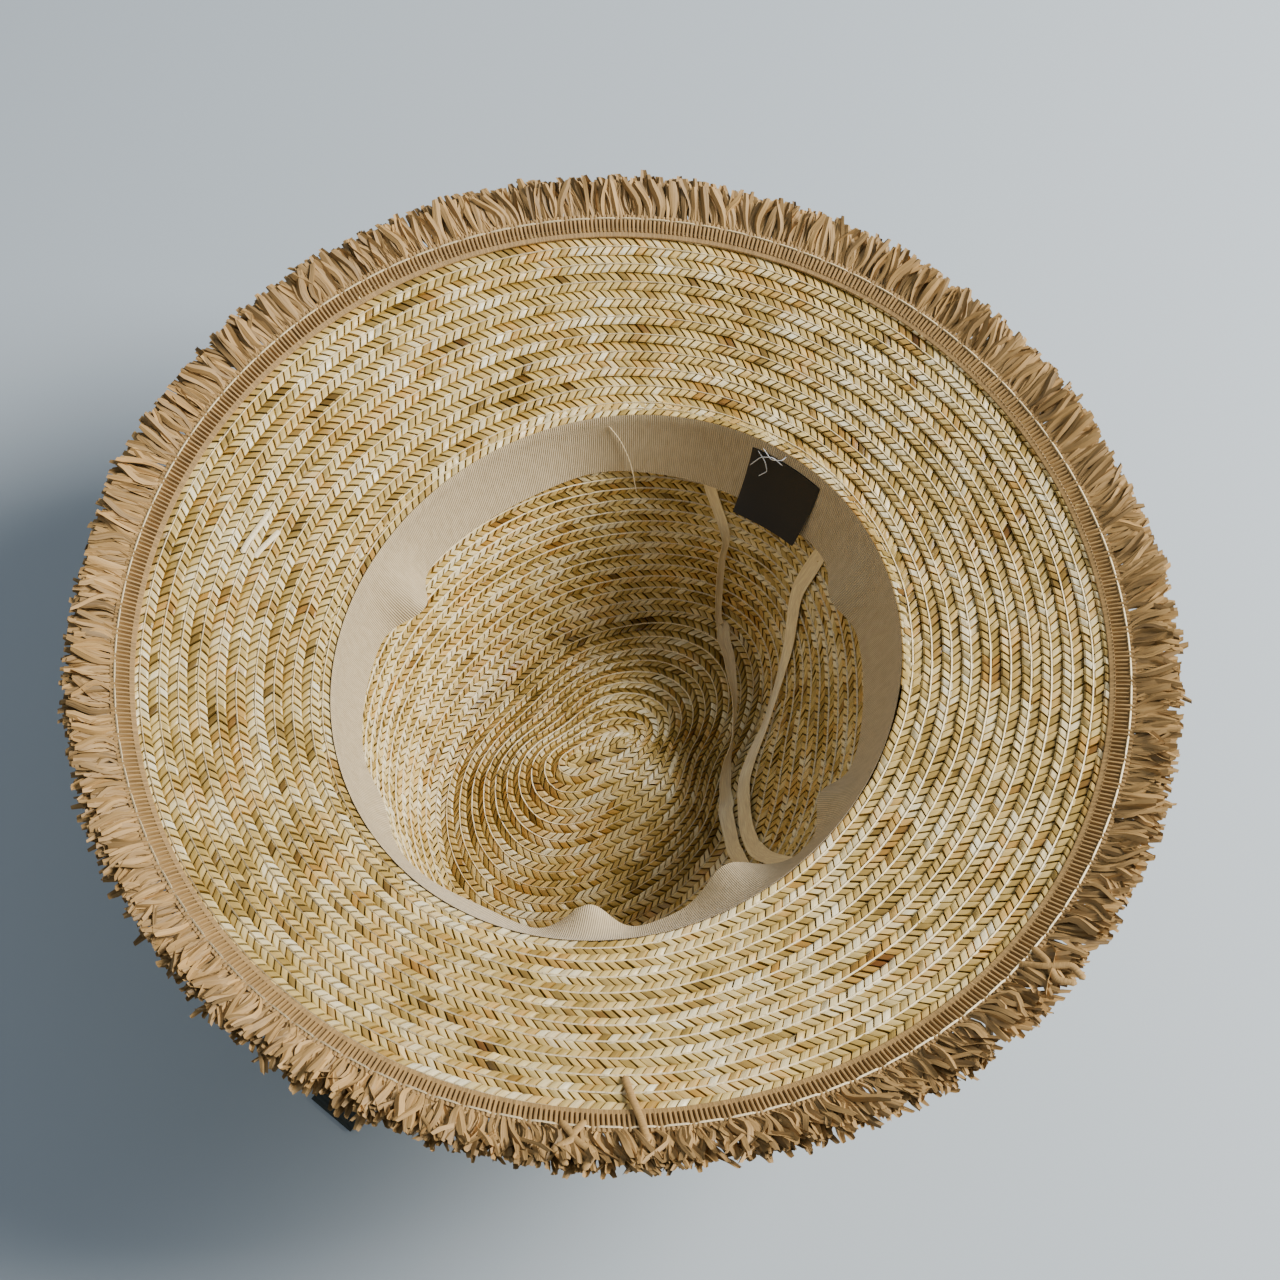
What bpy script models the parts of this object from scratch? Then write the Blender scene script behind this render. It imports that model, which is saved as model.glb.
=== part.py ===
"""Straw fedora with a fringed brim, resting upside down on its crown.

Metres, +Z up. The origin lies on the surface under the middle of the whole hat. The hat's front
faces -Y and the label is at the back. A turn is an angle in degrees round the middle of the
head opening, from +X towards +Y, and a depth is measured down from the opening's plane.
"""

import math
import random

import bmesh
import bpy
from mathutils import Vector

# Head opening, crown and wall. The shifts place the opening's middle from the origin.
HEAD_SHIFT_SIDE = -0.0018
HEAD_SHIFT_BACK = -0.0017
HEAD_LENGTH = 0.1916
HEAD_WIDTH = 0.1754
CROWN_DEPTH = 0.1
TIP_DEPTH = 0.075
STRAW = 0.002
CLEARANCE = 0.0003
RIDGE_WEAR = 0.0005

# Brim, measured level from the opening to the stitch line
BRIM_FRONT = 0.0615
BRIM_SIDE = 0.071
BRIM_RISE = 0.0259
BRIM_CURVE = 1.1
BRIM_SHIFT_SIDE = 0.0014
BRIM_SHIFT_BACK = 0.001
BRIM_EDGE = 0.0015

# Sweatband, label and ribbons
SWEATBAND_WIDTH = 0.027
SWEATBAND_WALL = 0.0008
SWEATBAND_SLACK = 0.0035
SWEATBAND_REST = 0.0004
LABEL_WIDTH = 0.0285
LABEL_START = 0.003
LABEL_HEIGHT = 0.0265
LABEL_WALL = 0.0005
LABEL_TURN = 90.5
LABEL_CLEARANCE = 0.0006
TIE_WIDTH = 0.005
TIE_WALL = 0.0005
TIE_LIFT = 0.0018
TIE_END_LIFT = 0.0008

# Fringe
TAPE_WIDTH = 0.0075
TAPE_WALL = 0.0012
FRINGE_REACH = 0.0155
FRINGE_LIFT = 0.0024
LOCK_TIP_SHARE = 0.72
LOCK_UNEVEN = 0.14

# Ribbon round the outside of the crown
HAT_BAND_START = 0.006
HAT_BAND_WIDTH = 0.024
HAT_BAND_WALL = 0.0008
TAIL_WIDTH = 0.018
TAIL_REACH = 0.157
TAIL_TURN = 270.0

# How finely the soft walls are cut
STRAW_TURNS = 72
WALL_STEPS = 8
DENT_STEPS = 6
RIDGE_SHARE = 0.04
DENT_END = 1.9
BRIM_STEPS = 3
SWEATBAND_TURNS = 144
SWEATBAND_STEPS = 3
HAT_BAND_STEPS = 2
FRINGE_TURNS = 144
TIE_STEPS = 36

# Crown form by turn. ridge: radius of the ridge as a share of the opening's radius there.
# drop: depth of the ridge as a share of CROWN_DEPTH. wall and dome: fullness of the curves.
CROWN_FORM = (
    {"turn": 0, "ridge": 0.46, "drop": 1.0, "wall": 1.6, "dome": 1.8},
    {"turn": 45, "ridge": 0.48, "drop": 1.0, "wall": 1.35, "dome": 0.8},
    {"turn": 90, "ridge": 0.76, "drop": 0.985, "wall": 1.35, "dome": 0.6},
    {"turn": 135, "ridge": 0.68, "drop": 1.0, "wall": 1.35, "dome": 0.95},
    {"turn": 180, "ridge": 0.62, "drop": 1.0, "wall": 1.5, "dome": 0.75},
    {"turn": 225, "ridge": 0.69, "drop": 0.985, "wall": 1.5, "dome": 1.4},
    {"turn": 270, "ridge": 0.76, "drop": 0.985, "wall": 1.5, "dome": 0.6},
    {"turn": 315, "ridge": 0.58, "drop": 1.0, "wall": 1.6, "dome": 0.7},
)

# Waves of the brim at its stitch line. height: share of BRIM_RISE. peak: turn of a high point.
BRIM_WAVES = (
    {"count": 1, "height": 0.149, "peak": -62},
    {"count": 2, "height": 0.149, "peak": -40},
)

# Folds of the sweatband's free edge. reach: inward, as a share of SWEATBAND_WIDTH.
SWEATBAND_FOLDS = (
    {"turn": 10, "reach": 0.25, "spread": 6},
    {"turn": 65, "reach": 0.24, "spread": 6},
    {"turn": 98, "reach": 0.1, "spread": 14},
    {"turn": 134, "reach": -0.1, "spread": 12},
    {"turn": 193, "reach": 0.36, "spread": 6},
    {"turn": 245, "reach": 0.12, "spread": 8},
    {"turn": 280, "reach": 0.18, "spread": 16},
    {"turn": 302, "reach": 0.42, "spread": 7},
    {"turn": 320, "reach": 0.2, "spread": 14},
    {"turn": 338, "reach": 0.45, "spread": 10},
)

# Routes of the two ribbons on the crown's inner face: turn, and share (1 is the ridge)
TIE_LEFT = (
    (110, 0.2), (108.8, 0.26), (107.8, 0.314), (105.3, 0.385), (102.9, 0.443), (102, 0.482),
    (102.1, 0.548), (100.8, 0.699), (98.6, 0.871), (95.6, 1.05), (90.2, 1.13), (81.9, 1.2),
    (68.8, 1.225), (59.4, 1.2), (45.3, 1.14), (32, 1.08), (18.4, 0.945), (9, 0.86),
    (3.6, 0.805), (0.7, 0.755), (-3, 0.68), (-6.5, 0.59), (-9.5, 0.49), (-12, 0.38),
    (-13.5, 0.27), (-14, 0.16),
)
TIE_RIGHT = (
    (76, 0.2), (77.6, 0.28), (78.5, 0.353), (79.4, 0.469), (77.6, 0.542), (73.9, 0.617),
    (68.9, 0.699), (62.5, 0.762), (55.7, 0.8), (49.2, 0.84), (37.9, 0.87), (25.2, 0.84),
    (13.9, 0.785), (6.5, 0.71), (3.5, 0.65), (1.5, 0.58), (0, 0.5), (-1.5, 0.4),
    (-2.5, 0.29), (-3, 0.16),
)

# The loose tail of the outer ribbon. out: share of the way from the ribbon to TAIL_REACH.
# up: share of the height where it starts.
TAIL_FORM = (
    {"out": 0.0, "up": 1.0},
    {"out": 0.03, "up": 0.75},
    {"out": 0.07, "up": 0.4},
    {"out": 0.14, "up": 0.13},
    {"out": 0.3, "up": 0.03},
    {"out": 0.6, "up": 0.012},
    {"out": 1.0, "up": 0.012},
)

# Colours: red, green, blue and roughness
STRAW_COLOUR = (0.62, 0.46, 0.22, 0.6)
RAFFIA_COLOUR = (0.42, 0.27, 0.14, 0.75)
GROSGRAIN_COLOUR = (0.58, 0.5, 0.38, 0.7)
LABEL_COLOUR = (0.012, 0.013, 0.02, 0.5)
SATIN_COLOUR = (0.72, 0.62, 0.43, 0.4)
HAT_BAND_COLOUR = (0.012, 0.02, 0.016, 0.6)

OPENING_HEIGHT = CROWN_DEPTH + STRAW - RIDGE_WEAR
HEAD_CENTRE = Vector((HEAD_SHIFT_SIDE, HEAD_SHIFT_BACK, 0))
CROWN_START = STRAW + CLEARANCE
FINITE_STEP = 0.002


def smooth_step(share):
    return share * share * (3 - 2 * share)


def curve_through(before, start, end, after, share):
    """Catmull-Rom value between start and end."""
    return 0.5 * (
        2 * start
        + (end - before) * share
        + (2 * before - 5 * start + 4 * end - after) * share**2
        + (3 * start - before - 3 * end + after) * share**3
    )


def crown_form(column, turn):
    """Value of a column of CROWN_FORM at any turn."""
    rows = len(CROWN_FORM)
    place = (turn % 360) * rows / 360
    first = math.floor(place)
    values = [CROWN_FORM[(first + step) % rows][column] for step in (-1, 0, 1, 2)]
    return curve_through(*values, place - first)


def opening_radius(turn):
    """Radius of the crown's inner face at the head opening."""
    angle = math.radians(turn)
    lining = SWEATBAND_WALL + CLEARANCE
    across = math.cos(angle) / (HEAD_WIDTH / 2 + lining)
    along = math.sin(angle) / (HEAD_LENGTH / 2 + lining)
    return 1 / math.hypot(across, along)


def heading(turn):
    """Level unit vector at a turn."""
    return Vector((math.cos(math.radians(turn)), math.sin(math.radians(turn)), 0))


def at_turn(turn, radius, depth):
    return HEAD_CENTRE + radius * heading(turn) + Vector((0, 0, OPENING_HEIGHT - depth))


def crown_point(turn, share):
    """The crown's inner face: share 0 at the opening, 1 at the ridge and 2 at the tip."""
    start = opening_radius(turn)
    ridge = crown_form("ridge", turn) * start
    drop = crown_form("drop", turn) * CROWN_DEPTH - CROWN_START
    if share <= 1:
        power = 2 / crown_form("wall", turn)
        angle = max(share, 0) * math.pi / 2
        radius = ridge + (start - ridge) * max(math.cos(angle), 0) ** power
        depth = drop * math.sin(angle) ** power
    else:
        left = max(2 - share, 0)
        radius = ridge * left
        rise = TIP_DEPTH - CROWN_START
        depth = rise + (drop - rise) * smooth_step(left ** crown_form("dome", turn))
    return at_turn(turn, radius, depth + CROWN_START)


def crown_share(turn, depth):
    """Share of crown_point whose depth is the one given, on the wall."""
    drop = crown_form("drop", turn) * CROWN_DEPTH - CROWN_START
    sunk = min(max(depth - CROWN_START, 0) / drop, 1)
    return math.asin(sunk ** (crown_form("wall", turn) / 2)) * 2 / math.pi


def brim_point(turn, share):
    """The brim's upper face: share 0 at the opening and 1 at the stitch line."""
    angle = math.radians(turn)
    lining = SWEATBAND_WALL + CLEARANCE
    across = HEAD_WIDTH / 2 + lining + share * (BRIM_SIDE - lining)
    along = HEAD_LENGTH / 2 + lining + share * (BRIM_FRONT - lining)
    wave = sum(
        wave["height"] * math.cos(wave["count"] * (angle - math.radians(wave["peak"])))
        for wave in BRIM_WAVES
    )
    height = OPENING_HEIGHT + BRIM_RISE * (share**BRIM_CURVE + share * wave)
    return HEAD_CENTRE + Vector((
        across * math.cos(angle) + share * BRIM_SHIFT_SIDE,
        along * math.sin(angle) + share * BRIM_SHIFT_BACK,
        height,
    ))


def fold_reach(turn):
    """How far the sweatband's free edge stands in from the crown's wall."""
    reach = SWEATBAND_SLACK
    for fold in SWEATBAND_FOLDS:
        away = (turn - fold["turn"] + 180) % 360 - 180
        reach += SWEATBAND_WIDTH * fold["reach"] * math.exp(-((away / fold["spread"]) ** 2))
    return max(reach, SWEATBAND_REST)


def sweatband_point(turn, share):
    """The sweatband's outer face: share 0 at its sewn edge and 1 at its free edge."""
    reach = fold_reach(turn) * share**1.5
    slant = SWEATBAND_WIDTH * share
    depth = math.sqrt(max(slant**2 - reach**2, 0))
    wall = crown_point(turn, crown_share(turn, depth))
    place = wall - (CLEARANCE + reach) * heading(turn)
    place.z = OPENING_HEIGHT - depth
    return place


def normal_of(surface, turn, share):
    """Normal that points away from the hat's hollow, or up from the brim."""
    along = surface(turn, share + FINITE_STEP) - surface(turn, max(share - FINITE_STEP, 0))
    around = surface(turn + 1, share) - surface(turn - 1, share)
    return along.cross(around).normalized()


def spaced(start, end, steps):
    return [start + (end - start) * index / steps for index in range(steps + 1)]


def whole_turn(count):
    return [360 * index / count for index in range(count)]


def add_object(mesh, name, material):
    built = bpy.data.objects.new(name, mesh)
    mesh.materials.append(material)
    bpy.data.collections[COLLECTION].objects.link(built)
    return built


def make_material(name, colour):
    material = bpy.data.materials.new(name)
    material.use_nodes = True
    shader = material.node_tree.nodes["Principled BSDF"]
    shader.inputs["Base Color"].default_value = (*colour[:3], 1)
    shader.inputs["Roughness"].default_value = colour[3]
    return material


def finish_mesh(bm, name, material, smooth=True):
    bmesh.ops.recalc_face_normals(bm, faces=bm.faces)
    mesh = bpy.data.meshes.new(name)
    bm.to_mesh(mesh)
    bm.free()
    if smooth:
        mesh.shade_smooth()
        mesh.set_sharp_from_angle(angle=math.radians(40))
    return add_object(mesh, name, material)


def add_wall(bm, surface, turns, shares, near, far, closed=True):
    """Loft a thin wall between two offsets of a surface, and return its rims' vertices."""
    sides = []
    for offset in (near, far):
        rings = []
        for share in shares:
            places = [
                surface(turn, share) + offset * normal_of(surface, turn, share)
                for turn in turns
            ]
            rings.append([bm.verts.new(place) for place in places])
        sides.append(rings)
    count = len(turns)
    steps = range(count if closed else count - 1)
    for rings in sides:
        for low, high in zip(rings, rings[1:]):
            for step in steps:
                after = (step + 1) % count
                bm.faces.new((low[step], low[after], high[after], high[step]))
    inner, outer = sides
    for edge in (0, -1):
        for step in steps:
            after = (step + 1) % count
            rim = (inner[edge][step], inner[edge][after], outer[edge][after], outer[edge][step])
            bm.faces.new(rim)
    if not closed:
        for end in (0, -1):
            for row in range(len(shares) - 1):
                bm.faces.new((
                    inner[row][end], inner[row + 1][end], outer[row + 1][end], outer[row][end],
                ))
    return inner, outer


def make_crown(material):
    """The plaited crown: one wall with its dent, closed at the tip and open at the head."""
    bm = bmesh.new()
    shares = spaced(0, 1 - RIDGE_SHARE, WALL_STEPS)
    shares += spaced(1 + RIDGE_SHARE, DENT_END, DENT_STEPS)
    inner, outer = add_wall(bm, crown_point, whole_turn(STRAW_TURNS), shares, 0, STRAW)
    tip_verts = set(inner[-1]) | set(outer[-1])
    tip_rim = [face for face in bm.faces if tip_verts.issuperset(face.verts)]
    bmesh.ops.delete(bm, geom=tip_rim, context="FACES")
    tip_height = OPENING_HEIGHT - TIP_DEPTH
    for ring, height in ((inner[-1], tip_height), (outer[-1], tip_height - STRAW)):
        cap = bm.faces.new(ring)
        centre = bmesh.ops.poke(bm, faces=[cap])["verts"][0]
        centre.co = HEAD_CENTRE + Vector((0, 0, height))
    for vert in bm.verts:
        vert.co.z = max(vert.co.z, 0)
    return finish_mesh(bm, "straw_crown", material)


def make_brim(material):
    """The plaited brim, a thin ring that rises outwards while the hat lies on its crown."""
    bm = bmesh.new()
    stretch = 1 + BRIM_EDGE / BRIM_SIDE
    shares = spaced(0, stretch, BRIM_STEPS)
    add_wall(bm, brim_point, whole_turn(STRAW_TURNS), shares, -STRAW, 0)
    return finish_mesh(bm, "straw_brim", material)


def make_sweatband(material):
    """The ribbed band sewn round the inside of the opening, with its free edge in folds."""
    bm = bmesh.new()
    shares = spaced(0, 1, SWEATBAND_STEPS)
    turns = whole_turn(SWEATBAND_TURNS)
    add_wall(bm, sweatband_point, turns, shares, -SWEATBAND_WALL, 0)
    return finish_mesh(bm, "sweatband", material)


def make_label(material):
    """The small bare label, which hangs from the sewn edge over the sweatband."""
    bm = bmesh.new()
    half = math.degrees(LABEL_WIDTH / 2 / opening_radius(LABEL_TURN))
    turns = spaced(LABEL_TURN - half, LABEL_TURN + half, 4)
    start = LABEL_START / SWEATBAND_WIDTH
    end = start + LABEL_HEIGHT / SWEATBAND_WIDTH
    shares = spaced(start, end, SWEATBAND_STEPS)
    near = -SWEATBAND_WALL - LABEL_CLEARANCE - LABEL_WALL
    add_wall(bm, sweatband_point, turns, shares, near, near + LABEL_WALL, closed=False)
    return finish_mesh(bm, "woven_label", material, smooth=False)


def make_tie(name, route, material):
    """A narrow ribbon that lies on the crown's inner face, with both ends under the sweatband."""
    bm = bmesh.new()
    sections = []
    for place in spaced(0, len(route) - 1, TIE_STEPS):
        first = min(math.floor(place), len(route) - 2)
        rows = [route[min(max(first + step, 0), len(route) - 1)] for step in (-1, 0, 1, 2)]
        turn, share = (
            curve_through(*(row[column] for row in rows), place - first) for column in (0, 1)
        )
        middle = smooth_step(min(4 * min(place, len(route) - 1 - place) / (len(route) - 1), 1))
        lift = TIE_END_LIFT + (TIE_LIFT - TIE_END_LIFT) * middle
        inward = -normal_of(crown_point, turn, share)
        sections.append((crown_point(turn, share) + lift * inward, inward))
    rings = []
    for index, (centre, inward) in enumerate(sections):
        before = sections[max(index - 1, 0)][0]
        after = sections[min(index + 1, len(sections) - 1)][0]
        across = (after - before).cross(inward).normalized() * TIE_WIDTH / 2
        thick = inward * TIE_WALL / 2
        corners = (across + thick, thick - across, -across - thick, across - thick)
        rings.append([bm.verts.new(centre + corner) for corner in corners])
    for ring, following in zip(rings, rings[1:]):
        for side in range(4):
            nearby = (side + 1) % 4
            bm.faces.new((ring[side], ring[nearby], following[nearby], following[side]))
    bm.faces.new(rings[0])
    bm.faces.new(rings[-1])
    return finish_mesh(bm, name, material, smooth=False)


def make_fringe(material):
    """The header tape over the brim's edge, with locks of raffia drawn out of its rim."""
    bm = bmesh.new()
    uneven = random.Random(5)
    start = 1 - TAPE_WIDTH * 0.75 / BRIM_SIDE
    end = 1 + TAPE_WIDTH * 0.25 / BRIM_SIDE
    turns = whole_turn(FRINGE_TURNS)
    lower = CLEARANCE
    upper = CLEARANCE + TAPE_WALL
    inner, outer = add_wall(bm, brim_point, turns, (start, end), lower, upper)
    rim_verts = set(inner[-1]) | set(outer[-1])
    rim = [face for face in bm.faces if rim_verts.issuperset(face.verts)]
    locks = bmesh.ops.extrude_discrete_faces(bm, faces=rim)["faces"]
    for lock in locks:
        reach = FRINGE_REACH * (1 + LOCK_UNEVEN * uneven.uniform(-1, 1))
        rise = FRINGE_LIFT * (1 + uneven.uniform(-1, 1))
        centre = lock.calc_center_median()
        outward = Vector((centre.x, centre.y, 0)).normalized()
        for vert in lock.verts:
            aside = (vert.co - centre) * LOCK_TIP_SHARE
            vert.co = centre + aside + outward * reach + Vector((0, 0, rise))
    return finish_mesh(bm, "raffia_fringe", material, smooth=False)


def make_hat_band(material):
    """The plain ribbon round the outside of the crown, under the brim."""
    bm = bmesh.new()

    def band_point(turn, share):
        depth = HAT_BAND_START + share * HAT_BAND_WIDTH
        return crown_point(turn, crown_share(turn, depth))

    near = STRAW + CLEARANCE
    turns = whole_turn(STRAW_TURNS)
    add_wall(bm, band_point, turns, spaced(0, 1, HAT_BAND_STEPS), near, near + HAT_BAND_WALL)
    return finish_mesh(bm, "hat_band", material)


def make_tail(material):
    """The loose end of the outer ribbon, which hangs to the surface and lies out on it."""
    bm = bmesh.new()
    start_depth = HAT_BAND_START + HAT_BAND_WIDTH / 2
    wall = crown_point(TAIL_TURN, crown_share(TAIL_TURN, start_depth))
    outward = heading(TAIL_TURN)
    aside = Vector((0, 0, 1)).cross(outward) * TAIL_WIDTH / 2
    start = (wall - HEAD_CENTRE).dot(outward) + STRAW + 2 * CLEARANCE + 2 * HAT_BAND_WALL
    centres = []
    for row in TAIL_FORM:
        reach = start + row["out"] * (TAIL_REACH - start)
        centres.append(HEAD_CENTRE + outward * reach + Vector((0, 0, wall.z * row["up"])))
    rings = []
    for index, centre in enumerate(centres):
        run = centres[min(index + 1, len(centres) - 1)] - centres[max(index - 1, 0)]
        thick = run.cross(aside).normalized() * HAT_BAND_WALL / 2
        corners = (aside + thick, thick - aside, -aside - thick, aside - thick)
        rings.append([bm.verts.new(centre + corner) for corner in corners])
    for ring, following in zip(rings, rings[1:]):
        for side in range(4):
            nearby = (side + 1) % 4
            bm.faces.new((ring[side], ring[nearby], following[nearby], following[side]))
    bm.faces.new(rings[0])
    bm.faces.new(rings[-1])
    return finish_mesh(bm, "band_tail", material, smooth=False)


COLLECTION = "straw_fedora"


def main():
    for leftover in list(bpy.data.objects):
        bpy.data.objects.remove(leftover, do_unlink=True)
    bpy.context.scene.collection.children.link(bpy.data.collections.new(COLLECTION))
    straw = make_material("wheat_straw", STRAW_COLOUR)
    satin = make_material("cream_satin", SATIN_COLOUR)
    ribbon = make_material("dark_ribbon", HAT_BAND_COLOUR)
    make_crown(straw)
    make_brim(straw)
    make_sweatband(make_material("beige_grosgrain", GROSGRAIN_COLOUR))
    make_label(make_material("dark_label", LABEL_COLOUR))
    make_tie("tie_ribbon_left", TIE_LEFT, satin)
    make_tie("tie_ribbon_right", TIE_RIGHT, satin)
    make_fringe(make_material("tan_raffia", RAFFIA_COLOUR))
    make_hat_band(ribbon)
    make_tail(ribbon)


main()
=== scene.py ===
"""Straw fedora with a fringed brim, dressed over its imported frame."""

import math

import bmesh
import bpy
import numpy as np
from mathutils import Matrix, Vector


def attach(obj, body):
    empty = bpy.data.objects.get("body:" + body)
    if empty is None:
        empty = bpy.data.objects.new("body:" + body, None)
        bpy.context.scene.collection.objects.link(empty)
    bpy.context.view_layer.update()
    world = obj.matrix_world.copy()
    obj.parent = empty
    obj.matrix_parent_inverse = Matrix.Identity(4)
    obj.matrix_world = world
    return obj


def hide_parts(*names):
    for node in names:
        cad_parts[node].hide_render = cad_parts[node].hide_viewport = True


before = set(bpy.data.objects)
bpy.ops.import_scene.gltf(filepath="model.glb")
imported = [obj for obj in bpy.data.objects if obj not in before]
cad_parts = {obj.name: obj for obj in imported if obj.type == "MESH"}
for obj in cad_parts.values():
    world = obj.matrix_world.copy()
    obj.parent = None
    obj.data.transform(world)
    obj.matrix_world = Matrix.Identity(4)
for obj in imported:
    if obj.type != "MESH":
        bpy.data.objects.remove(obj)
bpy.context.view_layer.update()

bl_info = {
    "name": "Straw Fedora",
    "version": (1, 0, 0),
    "blender": (4, 5, 0),
    "location": "3D View > Sidebar > Straw Fedora",
    "description": "Plaited crown and brim, raffia fringe, sweatband, label and ribbons",
    "category": "Object",
}

# The frame's form, repeated from the part's source, in millimetres
HEAD_SHIFT = np.array((-1.8, -1.7, 101.5))
HEAD_HALF = (88.8, 96.9)
BRIM_HALF = (71.0, 61.5)
BRIM_SHIFT = (1.4, 1.0)
BRIM_RISE = 25.9
BRIM_CURVE = 1.1
CROWN_DEPTH = 100.0
TIP_DEPTH = 75.0
CROWN_START = 2.3
SWEATBAND_WIDTH = 27.0
SWEATBAND_THICKNESS = 0.8
FREE_EDGE_GAP = 3.5

# Crown form by turn: ridge radius, ridge depth, wall fullness, dome fullness
CROWN_FORM = np.array((
    (0.46, 1.0, 1.6, 1.8),
    (0.48, 1.0, 1.35, 0.8),
    (0.76, 0.985, 1.35, 0.6),
    (0.68, 1.0, 1.35, 0.95),
    (0.62, 1.0, 1.5, 0.75),
    (0.69, 0.985, 1.5, 1.4),
    (0.76, 0.985, 1.5, 0.6),
    (0.58, 1.0, 1.6, 0.7),
))

# Folds of the sweatband's free edge: turn, reach as a share of its width, spread
SWEATBAND_FOLDS = (
    (10, 0.25, 6), (65, 0.24, 6), (98, 0.1, 14), (134, -0.1, 12), (193, 0.36, 6),
    (245, 0.12, 8), (280, 0.18, 16), (302, 0.42, 7), (320, 0.2, 14), (338, 0.45, 10),
)

# The oval core where the plait starts, and the row of the ridge by turn
CORE_MIDDLE = (-8.0, -1.5)
CORE_HALF = 10.0
CORE_TURN = 62.0
RIDGE_ROWS = np.array((12.0, 12.2, 11.0, 10.1, 10.2, 10.2, 11.5, 12.4))
CROWN_ROWS = 28.0
DENT_BLUR = 20.0
# Middle, half width and half length of the oval that the inner rows follow
RING_OVAL = (-8.0, 48.0, 72.0)
BRIM_ROW = 0.088
# The last row ends short of the crown's edge, and no straw goes below this height
CROWN_END = CROWN_ROWS - 1.2
LOWEST_STRAW = 0.1
# How far the outer plait lies behind the inner face, and its step as a share of the inner one
CROWN_BACK = 1.3
BRIM_BACK = 1.6
BACK_RELIEF = 0.6

# The narrow ribbons: half width, half thickness, and how far their edges curl
TIE_HALF_WIDTH = 2.5
TIE_HALF_THICKNESS = 0.12
TIE_CUP = 0.25
# Ribbon routes: turn, share of the crown's inner face, width share, twist in degrees
TIE_LEFT = (
    (110, 0.2, 1, 0), (108.8, 0.26, 1, 0), (107.8, 0.314, 0.9, 0), (105.3, 0.385, 0.8, 10),
    (102.9, 0.443, 0.7, 40), (102, 0.482, 0.6, 50), (102.1, 0.548, 0.6, 50),
    (100.8, 0.699, 0.6, 50), (98.6, 0.871, 0.5, 45), (95.6, 1.05, 1, 20),
    (90.2, 1.13, 1, 20), (81.9, 1.2, 0.8, 25),
    (68.8, 1.225, 0.5, 50), (59.4, 1.2, 0.4, 60), (45.3, 1.14, 0.9, 30), (32, 1.08, 1, 10),
    (18.4, 0.945, 1.1, 0), (9, 0.86, 1.1, 0), (3.6, 0.805, 1.1, 0), (0.7, 0.755, 1.1, 0),
    (-3, 0.68, 1, 0), (-6.5, 0.59, 1, 0), (-9.5, 0.49, 1, 0), (-12, 0.38, 1, 0),
    (-13.5, 0.27, 1, 0), (-14, 0.16, 1, 0),
)
TIE_RIGHT = (
    (76, 0.2, 0.8, 0), (77.6, 0.28, 1, 0), (78.5, 0.353, 1.2, 0), (79.4, 0.469, 1.2, 0),
    (77.6, 0.542, 1.1, 10), (73.9, 0.617, 0.9, 20), (68.9, 0.699, 0.6, 40), (62.5, 0.762, 0.45, 50),
    (55.7, 0.8, 0.5, 45), (49.2, 0.84, 0.7, 30), (37.9, 0.87, 0.9, 15), (25.2, 0.84, 1.1, 0),
    (13.9, 0.785, 1.2, 0), (6.5, 0.71, 1.2, 0), (3.5, 0.65, 1.2, 0), (1.5, 0.58, 1, 0),
    (0, 0.5, 1, 0), (-1.5, 0.4, 1, 0), (-2.5, 0.29, 1, 0), (-3, 0.16, 1, 0),
)

# Lines across one plait: width share, lean in cells, height at a cell's edge, start and end
PLAIT_LINES = np.array((
    (0.0, 0.75, -0.3, -0.3, -0.3),
    (0.0, 0.75, 0.5, 0.72, 0.78),
    (0.1, 0.6, 0.66, 1.0, 1.12),
    (0.36, 0.17, 0.45, 0.84, 1.0),
    (0.46, 0.0, 0.4, 0.52, 0.6),
    (0.55, 0.14, 0.26, 0.68, 0.78),
    (0.82, 0.6, 0.08, 0.5, 0.64),
    (1.0, 0.9, -0.04, 0.2, 0.28),
    (1.12, 1.0, -0.3, -0.3, -0.3),
))
CELL_COLUMNS = np.array((0.0, 0.12, 0.86))
# Which lines a plait keeps: all where it is seen close, fewer on the outside
FULL_PLAIT = (0, 1, 2, 3, 4, 5, 6, 7, 8)
PLAIN_PLAIT = (0, 1, 3, 5, 7, 8)

HEADER_LOOPS = 680

# The bare label: turn, half width, where it starts and ends along the sweatband, thickness
LABEL_TURN = 91.5
LABEL_HALF_WIDTH = 14.25
LABEL_SPAN = (3.0, 30.5)
LABEL_HALF_THICKNESS = 0.2

# The outer ribbon: its start below the brim, its width, and how far its faces lie outside
# the crown's inner face
BAND_START = 6.0
BAND_WIDTH = 24.0
BAND_FACES = (3.1, 2.35)
# The ribbon's tail: half width, half thickness, how far outside the crown's inner face it
# starts, how far from the middle it ends, and its fall by shares of reach and height
TAIL_HALF_WIDTH = 9.0
TAIL_HALF_THICKNESS = 0.4
TAIL_LIFT = 4.2
TAIL_END = 157.0
TAIL_FORM = (
    (0, 1), (0.03, 0.75), (0.07, 0.4), (0.14, 0.13), (0.3, 0.03), (0.6, 0.012), (1, 0.012),
)

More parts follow.
